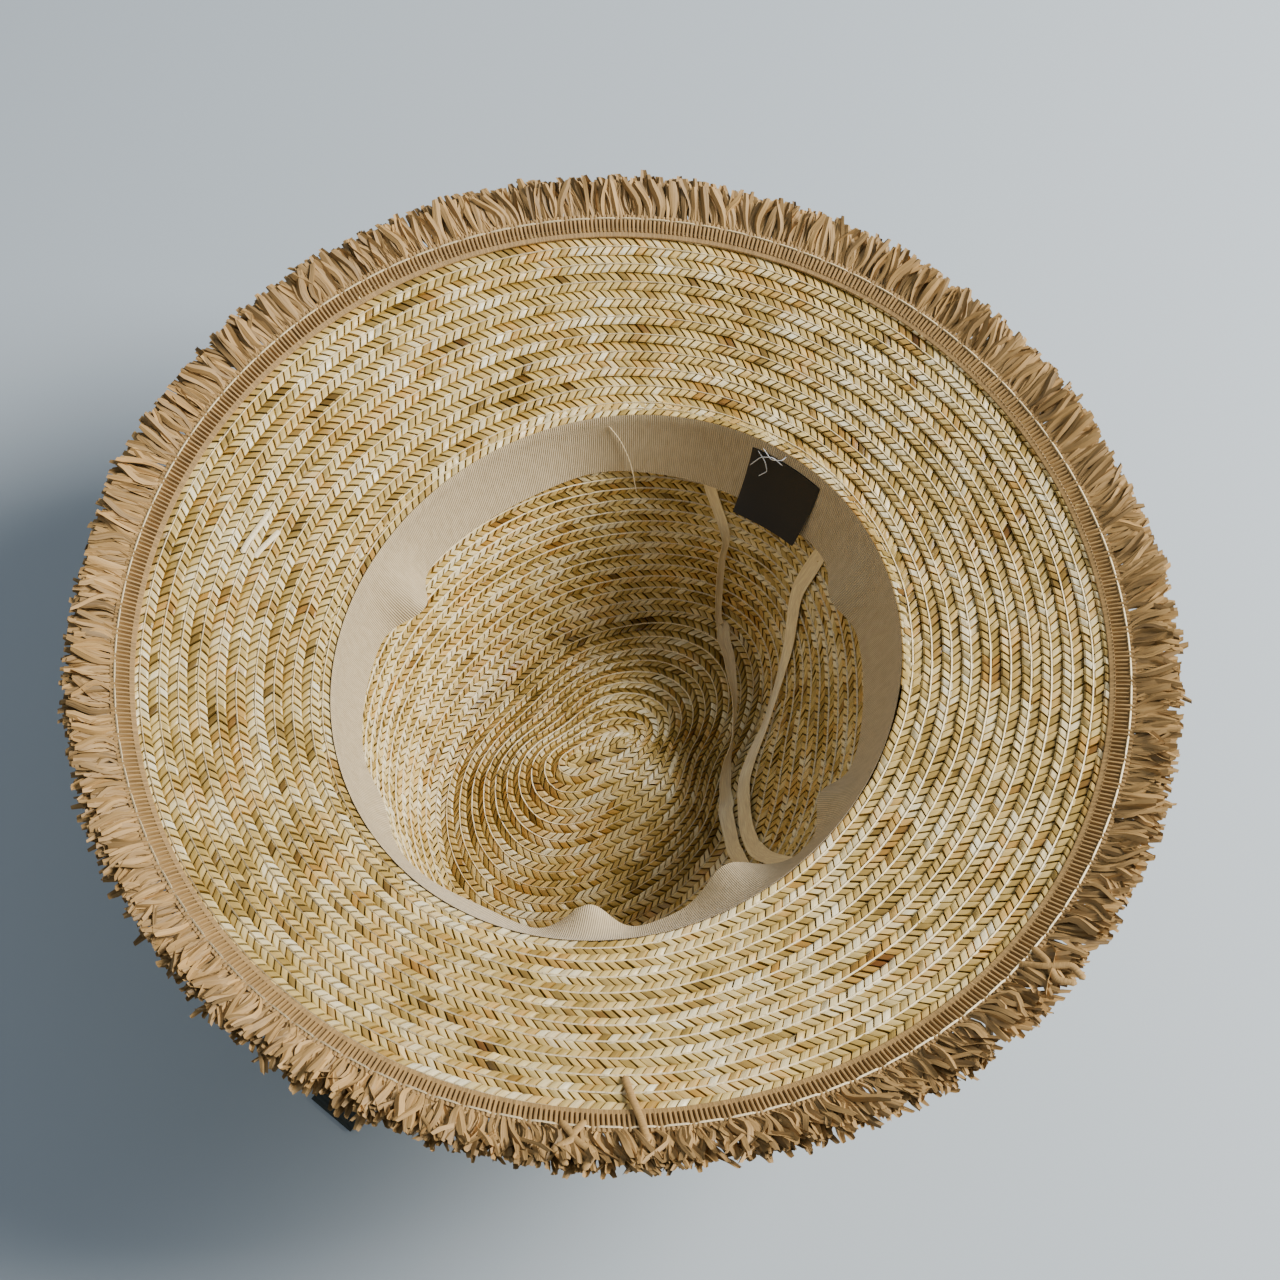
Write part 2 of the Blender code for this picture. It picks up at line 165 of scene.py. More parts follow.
# Loose ends: turn, share and height over what they lie on
LABEL_THREADS = (
    ((99.5, 0.4, 2.0), (97.5, 0.16, 2.6), (95, 0.06, 2.4), (92.5, 0.14, 1.9)),
    ((98.6, 0.1, 1.7), (96.4, 0.2, 2.6), (95.4, 0.36, 2.3), (97, 0.5, 2.2)),
    ((97.6, 0.02, 1.4), (95.2, 0.12, 2.5), (93.2, 0.03, 2.6), (91.8, -0.02, 1.4)),
)
SWEATBAND_THREAD = (
    (131, 0.1, 1.2), (128.5, 0.4, 1.6), (126.5, 0.75, 1.7), (125.5, 1.0, 2.2), (124.6, 1.3, 1.6),
)
LOOSE_RAFFIA = (
    ((-50.5, 0.74, 1.4), (-50, 0.86, 2.4), (-49.4, 0.97, 2.6), (-49, 1.08, 2.4)),
    ((-57.5, 0.98, 1.6), (-56, 1.08, 3.4), (-58, 1.14, 3.2), (-56.6, 1.2, 2.2)),
    ((-55, 0.97, 1.6), (-56.4, 1.07, 3.2), (-54.2, 1.15, 3.6), (-55.2, 1.22, 2.4)),
    ((-3, 0.99, 1.6), (-3.8, 1.08, 3.2), (-5.2, 1.16, 3.6), (-4.4, 1.23, 3.2)),
    ((-5.5, 0.99, 1.6), (-4.6, 1.09, 3.6), (-3, 1.17, 3.8), (-3.6, 1.24, 3.0)),
)
STRAW_SPLICES = (
    ((-165, 0.52, 0.8), (-162, 0.53, 1.3), (-159, 0.545, 1.3), (-157, 0.55, 0.8)),
    ((-163, 0.44, 0.8), (-160.6, 0.46, 1.3), (-158.6, 0.48, 1.2), (-157.2, 0.49, 0.8)),
)

# The photograph's camera, from the middle of the head opening
CAMERA_TURN = 38.7
CAMERA_HEIGHT = 63.7
CAMERA_DISTANCE = 0.65
CAMERA_SHIFT = (0.00713, 0.00739)
CAMERA_FOCAL = 56.67


def smooth_step(share):
    return share * share * (3 - 2 * share)


def catmull_rom(before, start, end, after, away):
    return 0.5 * (
        2 * start + (end - before) * away
        + (2 * before - 5 * start + 4 * end - after) * away**2
        + (3 * start - before - 3 * end + after) * away**3
    )


def unit(vectors):
    return vectors / np.linalg.norm(vectors, axis=-1, keepdims=True)


def run_lengths(points):
    """Length from the first point to each point of a line."""
    return np.concatenate(((0,), np.cumsum(np.linalg.norm(np.diff(points, axis=0), axis=1))))


def round_table(values, turns):
    """Catmull-Rom value of a table of evenly spaced turns."""
    count = len(values)
    place = (np.asarray(turns, float) % 360) * count / 360
    first = np.floor(place).astype(int)
    away = place - first
    return catmull_rom(*(values[(first + step) % count] for step in (-1, 0, 1, 2)), away)


def opening_radius(turn):
    angle = np.radians(turn)
    return 1 / np.hypot(np.cos(angle) / HEAD_HALF[0], np.sin(angle) / HEAD_HALF[1])


def crown_face(turn, share):
    """Inner face of the crown, in millimetres from the middle of the opening."""
    turn, share = np.broadcast_arrays(np.asarray(turn, float), np.asarray(share, float))
    start = opening_radius(turn)
    ridge = round_table(CROWN_FORM[:, 0], turn) * start
    drop = round_table(CROWN_FORM[:, 1], turn) * CROWN_DEPTH - CROWN_START
    power = 2 / round_table(CROWN_FORM[:, 2], turn)
    dome = round_table(CROWN_FORM[:, 3], turn)
    angle = np.clip(share, 0, 1) * math.pi / 2
    wall_radius = ridge + (start - ridge) * np.maximum(np.cos(angle), 0) ** power
    wall_depth = drop * np.sin(angle) ** power
    left = np.clip(2 - share, 0, 1)
    rise = TIP_DEPTH - CROWN_START
    dent_depth = rise + (drop - rise) * smooth_step(left**dome)
    radius = np.where(share <= 1, wall_radius, ridge * left)
    depth = np.where(share <= 1, wall_depth, dent_depth) + CROWN_START
    turned = np.radians(turn)
    return np.stack((radius * np.cos(turned), radius * np.sin(turned), -depth), -1)


def dent_face(x, y):
    """The dent's inner face over a point in plan."""
    turn = np.degrees(np.arctan2(y, x))
    ridge = round_table(CROWN_FORM[:, 0], turn) * opening_radius(turn)
    return crown_face(turn, 2 - np.clip(np.hypot(x, y) / ridge, 0, 1))


def row_table():
    """Points of the crown by turn (each degree) and by row (each tenth)."""
    turns = np.arange(361.0)
    steps = int(CROWN_ROWS * 10) + 1
    heading = np.radians(CORE_TURN)
    along = CORE_HALF * np.cos(np.radians(turns) - heading)
    core = np.stack((
        CORE_MIDDLE[0] + along * math.cos(heading), CORE_MIDDLE[1] + along * math.sin(heading),
    ), -1)
    ridge = crown_face(turns, 1.0)[:, :2]
    ridge_rows = round_table(RIDGE_ROWS, turns)
    shares = np.linspace(0, 1, 101)
    cos, sin = np.cos(np.radians(turns)), np.sin(np.radians(turns))
    middle, wide, long = RING_OVAL
    square = (cos / wide) ** 2 + (sin / long) ** 2
    cross = -2 * middle * cos / wide**2
    reach = (np.sqrt(cross**2 - 4 * square * ((middle / wide) ** 2 - 1)) - cross) / (2 * square)
    oval = np.stack((reach * cos, reach * sin), -1)
    blend = (shares**1.5)[None, :, None]
    end = oval[:, None] * (1 - blend) + ridge[:, None] * blend
    plan = core[:, None] + (end - core[:, None]) * shares[None, :, None]
    dent = dent_face(plan[..., 0], plan[..., 1])
    soft = DENT_BLUR * np.clip(1 - np.hypot(plan[..., 0], plan[..., 1]) / 50, 0, 1)
    heights = [dent[..., 2]]
    for share in (0.5, 1.0):
        for turn in range(0, 360, 45):
            away_x = soft * share * math.cos(math.radians(turn))
            away_y = soft * share * math.sin(math.radians(turn))
            heights.append(dent_face(plan[..., 0] + away_x, plan[..., 1] + away_y)[..., 2])
    dent[..., 2] = np.mean(heights, axis=0)
    wall = crown_face(turns[:, None], np.linspace(1, 0, 101)[None])
    table = np.empty((361, steps, 3))
    rows = np.arange(steps) / 10
    for turn in range(361):
        for points, low, high in (
            (dent[turn], 0.0, ridge_rows[turn]), (wall[turn], ridge_rows[turn], CROWN_ROWS),
        ):
            length = run_lengths(points)
            wanted = (rows - low) / (high - low) * length[-1]
            chosen = (rows >= low) & (rows <= high + 1e-9)
            for axis in range(3):
                table[turn, chosen, axis] = np.interp(wanted[chosen], length, points[:, axis])
    return table


CROWN_TABLE = row_table()


def crown_row(turn, row):
    """The crown's inner face at a row counted from the tip."""
    turn = np.asarray(turn, float) % 360
    row = np.clip(np.asarray(row, float), 0, CROWN_ROWS - 1e-6) * 10
    turn, row = np.broadcast_arrays(turn, row)
    first, step = np.floor(turn).astype(int), np.floor(row).astype(int)
    away, above = (turn - first)[..., None], (row - step)[..., None]
    return (
        CROWN_TABLE[first, step] * (1 - away) * (1 - above)
        + CROWN_TABLE[first + 1, step] * away * (1 - above)
        + CROWN_TABLE[first, step + 1] * (1 - away) * above
        + CROWN_TABLE[first + 1, step + 1] * away * above
    )


def brim_face(turn, share):
    """Upper face of the brim: share 0 at the opening and 1 at the stitch line."""
    turn, share = np.broadcast_arrays(np.asarray(turn, float), np.asarray(share, float))
    angle = np.radians(turn)
    outward = np.maximum(share, 0)
    across = HEAD_HALF[0] + share * (BRIM_HALF[0] - 1.1)
    along = HEAD_HALF[1] + share * (BRIM_HALF[1] - 1.1)
    wave = 0.149 * np.cos(angle + np.radians(62)) + 0.149 * np.cos(2 * angle + np.radians(80))
    return np.stack((
        across * np.cos(angle) + share * BRIM_SHIFT[0],
        along * np.sin(angle) + share * BRIM_SHIFT[1],
        BRIM_RISE * (outward**BRIM_CURVE + share * wave),
    ), -1)


def brim_row(turn, row):
    return brim_face(turn, row * BRIM_ROW)


def wall_share(turn, depth):
    """Share of the crown's wall at a depth below the opening."""
    drop = round_table(CROWN_FORM[:, 1], turn) * CROWN_DEPTH - CROWN_START
    sunk = np.clip((depth - CROWN_START) / drop, 0, 1)
    return np.arcsin(sunk ** (round_table(CROWN_FORM[:, 2], turn) / 2)) * 2 / math.pi


def fold_reach(turn):
    reach = np.full(np.shape(turn), FREE_EDGE_GAP)
    for middle, height, spread in SWEATBAND_FOLDS:
        away = (np.asarray(turn, float) - middle + 180) % 360 - 180
        reach = reach + SWEATBAND_WIDTH * height * np.exp(-((away / spread) ** 2))
    return np.maximum(reach, 0.4)


def sweatband_face(turn, share):
    """The sweatband's outer face: share 0 at its sewn edge and 1 at its free edge."""
    turn, share = np.broadcast_arrays(np.asarray(turn, float), np.asarray(share, float))
    reach = fold_reach(turn) * np.maximum(share, 0) ** 1.5
    depth = np.sqrt(np.maximum((SWEATBAND_WIDTH * share) ** 2 - reach**2, 0))
    place = crown_face(turn, wall_share(turn, depth))
    inward = np.stack((-np.cos(np.radians(turn)), -np.sin(np.radians(turn)), 0 * turn), -1)
    place = place + (0.3 + reach)[..., None] * inward
    place[..., 2] = -depth
    return place


def face_normal(face, turn, share, reach=0.02):
    """Unit normal on the side seen from above and from the hollow."""
    along = face(turn, share + reach) - face(turn, share - reach)
    around = face(turn + 0.5, share) - face(turn - 0.5, share)
    normal = np.cross(along, around)
    size = np.linalg.norm(normal, axis=-1, keepdims=True)
    return normal / np.maximum(size, 1e-9)


def wander(place, seed, length):
    """Smooth noise of about -1 to 1 that changes over the given length."""
    rng = np.random.default_rng(seed)
    knots = rng.uniform(-1, 1, 4096)
    spot = np.asarray(place, float) / length + 1000
    first = np.floor(spot).astype(int)
    away = smooth_step(spot - first)
    return knots[first % 4096] * (1 - away) + knots[(first + 1) % 4096] * away


def grid_piece(
    name, columns, rows, places, skip=None, ring=False, facet=40.0, facts=None, facing=None,
    tracks=None,
):
    """A mesh from one grid, its points placed by an array of columns by rows, in metres."""
    bm = bmesh.new()
    bmesh.ops.create_grid(bm, x_segments=columns - 1, y_segments=rows - 1, size=1)
    mesh = bpy.data.meshes.new(name)
    bm.to_mesh(mesh)
    bm.free()
    count = len(mesh.vertices)
    flat = np.empty(count * 3)
    mesh.vertices.foreach_get("co", flat)
    flat = flat.reshape(-1, 3)
    column = np.rint((flat[:, 0] + 1) / 2 * (columns - 1)).astype(int)
    row = np.rint((flat[:, 1] + 1) / 2 * (rows - 1)).astype(int)
    placed = HEAD_SHIFT + places[column, row]
    mesh.vertices.foreach_set("co", (placed * 0.001).ravel())
    corners = np.empty(len(mesh.loops), int)
    mesh.loops.foreach_get("vertex_index", corners)
    corners = corners.reshape(-1, 4)
    face_column = column[corners].min(1)
    face_row = row[corners].min(1)
    for key, values in (facts or {}).items():
        attribute = mesh.attributes.new(key, "FLOAT", "FACE")
        attribute.data.foreach_set("value", values[face_column, face_row].astype(float))
    uv = mesh.uv_layers.new(name="weave")
    track = row if tracks is None else tracks[row]
    spots = np.stack((column, track), -1)[corners.ravel()].astype(float)
    uv.data.foreach_set("uv", spots.ravel())
    if facing is not None:
        normals = np.empty(len(mesh.polygons) * 3)
        mesh.polygons.foreach_get("normal", normals)
        wanted = facing[face_column, face_row]
        if (normals.reshape(-1, 3) * wanted).sum() < 0:
            mesh.flip_normals()
    if skip is not None or ring:
        bm = bmesh.new()
        bm.from_mesh(mesh)
        if skip is not None:
            gone = [face for face, cut in zip(bm.faces, skip[face_column]) if cut]
            bmesh.ops.delete(bm, geom=gone, context="FACES")
        if ring:
            bmesh.ops.remove_doubles(bm, verts=bm.verts, dist=1e-6)
            bmesh.ops.recalc_face_normals(bm, faces=bm.faces)
        bm.to_mesh(mesh)
        bm.free()
    mesh.shade_smooth()
    mesh.set_sharp_from_angle(angle=math.radians(facet))
    piece = bpy.data.objects.new(name, mesh)
    bpy.context.scene.collection.objects.link(piece)
    return piece


def thin_strip(middle, thick, half):
    """The closed outline of a thin strip about its middle sheet, pinched shut at both ends."""
    half = np.full((len(middle), 1, 1), half)
    half[0] = half[-1] = 0
    top = middle + thick * half
    low = middle - thick * half
    return np.concatenate((top, low[:, ::-1], top[:, :1]), 1)


def finish_piece(piece, material, slot, *nodes):
    piece.data.materials.append(material)
    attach(piece, "root")
    if nodes:
        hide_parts(*nodes)
    return piece


def plait_piece(name, face, first_turn, last_turn, cell, height, seed, side=1, keep=FULL_PLAIT):
    """One long sewn plait, wound as a spiral over a face."""
    rng = np.random.default_rng(seed)
    lines = PLAIT_LINES[list(keep)]
    turns = np.arange(first_turn, last_turn, 0.5)
    middle = face(turns, np.maximum(turns / 360 + 0.5, 0.3))
    length = run_lengths(middle)
    cells = int(length[-1] / cell)
    columns = (np.arange(cells)[:, None] + CELL_COLUMNS[None]).ravel()
    index = np.arange(len(columns))
    width, lean, edge, start, end = (lines[:, item] for item in range(5))
    spot = (columns[:, None] + lean[None]) * cell
    turn = np.interp(spot, length, turns)
    sway = 0.035 * wander(spot, seed + 1, 40) + 0.02 * wander(spot, seed + 2, 9)
    row = np.maximum(turn / 360 + sway, 0) + (width[None] + 0.03 * wander(spot, seed + 3, 6))
    base = face(turn, row)
    normal = face_normal(face, turn, row)
    column = (index % 3)[:, None]
    relief = np.where(column == 0, edge, np.where(column == 1, start, end))
    band = (width > 0.5).astype(int)
    tilt = rng.normal(0, 0.15, (cells, 2, 2))
    for part in (1, 2):
        rows = index[index % 3 == part]
        relief[rows] += tilt[rows // 3][:, band, part - 1]
    base = base + side * normal * (relief * height)[..., None]
    base[..., 2] = np.maximum(base[..., 2], LOWEST_STRAW - HEAD_SHIFT[2])
    run = np.arange(cells) * cell
    # Painted highlight: smooth clusters of painted glint lighten the tone along the plait, while
    # own is the straw's own random tone
    painted_glint = wander(run, seed + 4, 14) + 0.7 * wander(run, seed + 5, 5)
    tone = np.empty((cells, 2))
    for item in range(2):
        own = wander(run, seed + 6 + item, 6) + rng.normal(0, 0.7, cells)
        tone[:, item] = (0.6, 0.44)[item] + (0.24, 0.18)[item] * painted_glint + 0.15 * own
    amber = 0.42 + 0.28 * wander(run, seed + 9, 18) + rng.normal(0, 0.17, cells)
    face_index = index // 3
    tones = np.clip(tone[face_index][:, band], 0, 1)
    # Painted shade: the groove faces between cells are darkened, and the first strip of each row,
    # its step face, is darkened as a painted shadow line
    tones[index % 3 == 0] *= 0.4
    tones[:, 0] *= 0.5
    tones[:, -2] = np.clip(tones[:, -2] + 0.12, 0, 1)
    facts = {
        "tone": tones,
        "amber": np.clip(np.repeat(amber[face_index][:, None], len(lines), 1), 0, 1),
    }
    return grid_piece(
        name, len(columns), len(lines), base, facet=28, facts=facts, facing=side * normal,
        tracks=np.array(keep, float),
    )


def thread_piece(name, face, first_turn, last_turn, share, seed):
    """The fine straw-coloured seam thread that holds the rows."""
    turns = np.arange(first_turn, last_turn, 1.0)
    spot = np.arange(1, len(turns) + 1) * 1.6
    wave = 0.02 * wander(spot, seed, 8)
    row = np.maximum(turns / 360, 0) + share + wave
    wide = np.array((-0.042, 0.0, 0.042))
    high = np.array((0.8, 1.25, 0.8))
    rows = row[:, None] + wide[None]
    turned = np.broadcast_to(turns[:, None], rows.shape)
    base = face(turned, rows)
    normal = face_normal(face, turned, rows)
    lift = high[None] + 0.1 * wander(spot, seed + 1, 3)[:, None]
    return grid_piece(name, len(turns), 3, base + normal * lift[..., None], facing=normal)


def sock(group, name, kind, way, value=None):
    made = group.interface.new_socket(name=name, in_out=way, socket_type=kind)
    if value is not None:
        made.default_value = value
    return made


def fresh_material(name, roughness):
    material = bpy.data.materials.new(name)
    material.use_nodes = True
    shader = material.node_tree.nodes["Principled BSDF"]
    shader.inputs["Roughness"].default_value = roughness
    return material, material.node_tree, shader


def node(tree, kind, **values):
    made = tree.nodes.new(kind)
    for key, value in values.items():
        if key in made.inputs:
            made.inputs[key].default_value = value
        else:
            setattr(made, key, value)
    return made


def ramp(tree, value, stops):
    made = tree.nodes.new("ShaderNodeValToRGB")
    elements = made.color_ramp.elements
    while len(elements) < len(stops):
        elements.new(0.5)
    for element, (place, colour) in zip(elements, stops):
        element.position = place
        element.color = (*colour, 1)
    tree.links.new(value, made.inputs["Fac"])
    return made.outputs["Color"]


def shaded(colour, share):
    return tuple(min(channel * share, 1) for channel in colour)


def multiply(tree, first, second, factor=1.0):
    made = node(tree, "ShaderNodeMix", data_type="RGBA", blend_type="MULTIPLY", Factor=factor)
    tree.links.new(first, made.inputs[6])
    tree.links.new(second, made.inputs[7])
    return made.outputs[2]


def fibres_on(tree, across, along):
    """The piece's own map, and the fibres' value on it."""
    place = node(tree, "ShaderNodeUVMap", uv_map="weave")
    fibres = node(tree, "ShaderNodeGroup", node_tree=fibre_group(), Across=across, Along=along)
    tree.links.new(place.outputs["UV"], fibres.inputs["Place"])
    return place.outputs["UV"], fibres.outputs["Fibre"]


def bump_on(tree, shader, height, strength, below=None):
    bump = node(tree, "ShaderNodeBump", Strength=strength, Distance=0.0003)
    tree.links.new(height, bump.inputs["Height"])
    if below is not None:
        tree.links.new(below, bump.inputs["Normal"])
    tree.links.new(bump.outputs["Normal"], shader.inputs["Normal"])


def fibre_group():
    """Fine lengthwise fibres, as one value that serves a tint and a bump."""
    group = bpy.data.node_groups.get("plant_fibres")
    if group:
        return group
    group = bpy.data.node_groups.new("plant_fibres", "ShaderNodeTree")
    sock(group, "Place", "NodeSocketVector", "INPUT")
    sock(group, "Across", "NodeSocketFloat", "INPUT", 8.0)
    sock(group, "Along", "NodeSocketFloat", "INPUT", 1.0)
    sock(group, "Fibre", "NodeSocketFloat", "OUTPUT")
    begin = group.nodes.new("NodeGroupInput")
    end = group.nodes.new("NodeGroupOutput")
    scale = group.nodes.new("ShaderNodeCombineXYZ")
    group.links.new(begin.outputs["Across"], scale.inputs["X"])
    group.links.new(begin.outputs["Along"], scale.inputs["Y"])
    stretch = node(group, "ShaderNodeVectorMath", operation="MULTIPLY")
    group.links.new(begin.outputs["Place"], stretch.inputs[0])
    group.links.new(scale.outputs["Vector"], stretch.inputs[1])
    noise = node(group, "ShaderNodeTexNoise", Scale=1.0, Detail=3.0, Roughness=0.6)
    group.links.new(stretch.outputs["Vector"], noise.inputs["Vector"])
    group.links.new(noise.outputs["Fac"], end.inputs["Fibre"])
    return group


def strand_group():
    """A round strand in each cell, with painted shade at its edges and a painted highlight on its
    crest, and the darker triangle where strands cross.
    """
    group = bpy.data.node_groups.new("plait_strands", "ShaderNodeTree")
    sock(group, "Place", "NodeSocketVector", "INPUT")
    sock(group, "Shade", "NodeSocketColor", "OUTPUT")
    sock(group, "Height", "NodeSocketFloat", "OUTPUT")
    begin = group.nodes.new("NodeGroupInput")
    end = group.nodes.new("NodeGroupOutput")
    parts = group.nodes.new("ShaderNodeSeparateXYZ")
    group.links.new(begin.outputs["Place"], parts.inputs["Vector"])

    def math_node(operation, first, second=None, third=None):
        made = node(group, "ShaderNodeMath", operation=operation)
        for item, value in enumerate((first, second, third)):
            if value is None:
                continue
            if isinstance(value, (int, float)):
                made.inputs[item].default_value = value
            else:
                group.links.new(value, made.inputs[item])
        return made.outputs["Value"]

    cell = math_node("FRACT", math_node("DIVIDE", parts.outputs["X"], len(CELL_COLUMNS)))
    crest = math_node("SINE", math_node("MULTIPLY", cell, math.pi))
    group.links.new(crest, end.inputs["Height"])
    across = math_node("DIVIDE", math_node("SUBTRACT", parts.outputs["Y"], 5.0), 2.4)
    over = math_node("SUBTRACT", across, math_node("MULTIPLY", cell, 1.25))
    inside = math_node("GREATER_THAN", parts.outputs["Y"], 4.6)
    dark = math_node("MULTIPLY", math_node("GREATER_THAN", over, 0.0), inside)
    mixed = node(group, "ShaderNodeMix", data_type="RGBA")
    mixed.inputs[6].default_value = (1.0, 1.0, 1.0, 1)
    mixed.inputs[7].default_value = (0.7, 0.64, 0.42, 1)
    group.links.new(dark, mixed.inputs["Factor"])
    # Painted shade and highlight: each strand's edges are coloured darker and its crest lighter
    painted_crest_shade = ramp(group, crest, (
        (0.0, (0.7, 0.6, 0.42)), (0.4, (0.97, 0.95, 0.92)), (0.8, (1, 1, 1)),
    ))
    group.links.new(multiply(group, mixed.outputs[2], painted_crest_shade), end.inputs["Shade"])
    return group


def straw_material():
    material, tree, shader = fresh_material("sewn_straw", 0.33)
    tone = node(tree, "ShaderNodeAttribute", attribute_name="tone")
    amber = node(tree, "ShaderNodeAttribute", attribute_name="amber")
    golden = ramp(tree, tone.outputs["Fac"], (
        (0.0, (0.14, 0.08, 0.015)), (0.28, (0.42, 0.28, 0.07)), (0.6, (0.7, 0.52, 0.19)),
        (1.0, (0.91, 0.82, 0.55)),
    ))
    ochre = ramp(tree, tone.outputs["Fac"], (
        (0.0, (0.16, 0.06, 0.01)), (0.28, (0.48, 0.26, 0.05)), (0.6, (0.7, 0.45, 0.14)),
        (1.0, (0.93, 0.8, 0.5)),
    ))
    share = ramp(tree, amber.outputs["Fac"], ((0.45, (0, 0, 0)), (0.85, (1, 1, 1))))
    mixed = node(tree, "ShaderNodeMix", data_type="RGBA")
    tree.links.new(share, mixed.inputs["Factor"])
    tree.links.new(golden, mixed.inputs[6])
    tree.links.new(ochre, mixed.inputs[7])
    place, fibre = fibres_on(tree, 5.0, 0.35)
    tint = ramp(tree, fibre, ((0.3, (0.7, 0.68, 0.62)), (0.62, (1, 1, 1))))
    streaked = multiply(tree, mixed.outputs[2], tint, 0.8)
    strand = node(tree, "ShaderNodeGroup", node_tree=strand_group())
    tree.links.new(place, strand.inputs["Place"])
    colour = multiply(tree, streaked, strand.outputs["Shade"])
    tree.links.new(colour, shader.inputs["Base Color"])
    round_off = node(tree, "ShaderNodeBump", Strength=0.7, Distance=0.0009)
    tree.links.new(strand.outputs["Height"], round_off.inputs["Height"])
    bump_on(tree, shader, fibre, 0.35, round_off.outputs["Normal"])
    return material


def plain_material(
    name, colour, roughness, across=3.0, along=0.5, depth=0.3, sheen=0.0, darkest=0.55,
):
    """A fibrous finish whose fibres run along the piece's own map."""
    material, tree, shader = fresh_material(name, roughness)
    _, fibre = fibres_on(tree, across, along)
    low, high = shaded(colour, darkest), shaded(colour, 1.25)
    shade = ramp(tree, fibre, ((0.3, low), (0.5, colour), (0.7, high)))
    tree.links.new(shade, shader.inputs["Base Color"])
    bump_on(tree, shader, fibre, depth)
    shader.inputs["Sheen Weight"].default_value = sheen
    return material


def ribbed_material(name, colour, ribs):
    """Woven ribbon whose fine ribs run across its width, with painted shade in their troughs and a
    painted highlight on their crests.
    """
    material, tree, shader = fresh_material(name, 0.72)
    place, fibre = fibres_on(tree, 0.4, 0.3)
    parts = tree.nodes.new("ShaderNodeSeparateXYZ")
    tree.links.new(place, parts.inputs["Vector"])
    turned = node(tree, "ShaderNodeMath", operation="MULTIPLY")
    turned.inputs[1].default_value = ribs * 2 * math.pi
    tree.links.new(parts.outputs["X"], turned.inputs[0])
    wave = node(tree, "ShaderNodeMath", operation="SINE")
    tree.links.new(turned.outputs["Value"], wave.inputs[0])
    half = node(tree, "ShaderNodeMath", operation="MULTIPLY_ADD")
    half.inputs[1].default_value = 0.5
    half.inputs[2].default_value = 0.5
    tree.links.new(wave.outputs["Value"], half.inputs[0])
    # Painted shade and highlight: the ribs' troughs are coloured darker and their crests lighter,
    # on top of the ribs' bump
    shade = ramp(tree, half.outputs["Value"], (
        (0.0, shaded(colour, 0.6)), (0.55, colour), (1.0, shaded(colour, 1.12)),
    ))
    tint = ramp(tree, fibre, ((0.3, (0.82, 0.8, 0.76)), (0.65, (1, 1, 1))))
    tree.links.new(multiply(tree, shade, tint), shader.inputs["Base Color"])
    bump_on(tree, shader, half.outputs["Value"], 0.6)
    shader.inputs["Sheen Weight"].default_value = 0.2
    return material


class StrawFedoraSizes(bpy.types.PropertyGroup):
    cell: bpy.props.FloatProperty(
        name="Straw cell", description="Length of one crossing of the plait",
        default=0.003, min=0.001, unit="LENGTH",
    )
    relief: bpy.props.FloatProperty(
        name="Plait step", description="How far each row stands over the next",
        default=0.0011, min=0.0001, unit="LENGTH",
    )
    fringe_reach: bpy.props.FloatProperty(
        name="Fringe length", description="Raffia beyond the stitch line",
        default=0.0155, min=0.002, unit="LENGTH",
    )
    fringe_strips: bpy.props.IntProperty(
        name="Fringe strips", description="Raffia strips in one layer of the fringe", default=860,
    )


class StrawFedoraColours(bpy.types.PropertyGroup):
    raffia: bpy.props.FloatVectorProperty(
        name="Raffia", description="Colour of the fringe", subtype="COLOR",
        default=(0.385, 0.235, 0.083), min=0, max=1,
    )
    grosgrain: bpy.props.FloatVectorProperty(
        name="Sweatband", description="Colour of the ribbed band", subtype="COLOR",
        default=(0.58, 0.46, 0.275), min=0, max=1,
    )
    hat_band: bpy.props.FloatVectorProperty(
        name="Hat band", description="Colour of the outer ribbon", subtype="COLOR",
        default=(0.02, 0.028, 0.024), min=0, max=1,
    )
    satin: bpy.props.FloatVectorProperty(
        name="Ribbons", description="Colour of the narrow ribbons", subtype="COLOR",
        default=(0.86, 0.7, 0.42), min=0, max=1,
    )


class StrawFedoraCamera(bpy.types.Operator):
    """Places the camera at the photograph's angle."""

    bl_idname = "fedora.camera"
    bl_label = "Camera"

    def execute(self, context):
        turn, height = math.radians(CAMERA_TURN), math.radians(CAMERA_HEIGHT)
        back = Vector((
            math.sin(turn) * math.cos(height), -math.cos(turn) * math.cos(height),
            math.sin(height),
        ))
        right = Vector((math.cos(turn), math.sin(turn), 0))
        up = back.cross(right)
        centre = Vector(HEAD_SHIFT * 0.001)
        place = centre + back * CAMERA_DISTANCE + right * CAMERA_SHIFT[0] + up * CAMERA_SHIFT[1]
        data = bpy.data.cameras.new("photo_camera")
        data.lens = CAMERA_FOCAL
        data.sensor_width = 36
        data.clip_start = 0.01
        camera = bpy.data.objects.new("photo_camera", data)
        facing = Matrix((right, up, back)).transposed().to_4x4()
        camera.matrix_world = Matrix.Translation(place) @ facing
        context.scene.collection.objects.link(camera)
        context.scene.camera = camera
        return {"FINISHED"}


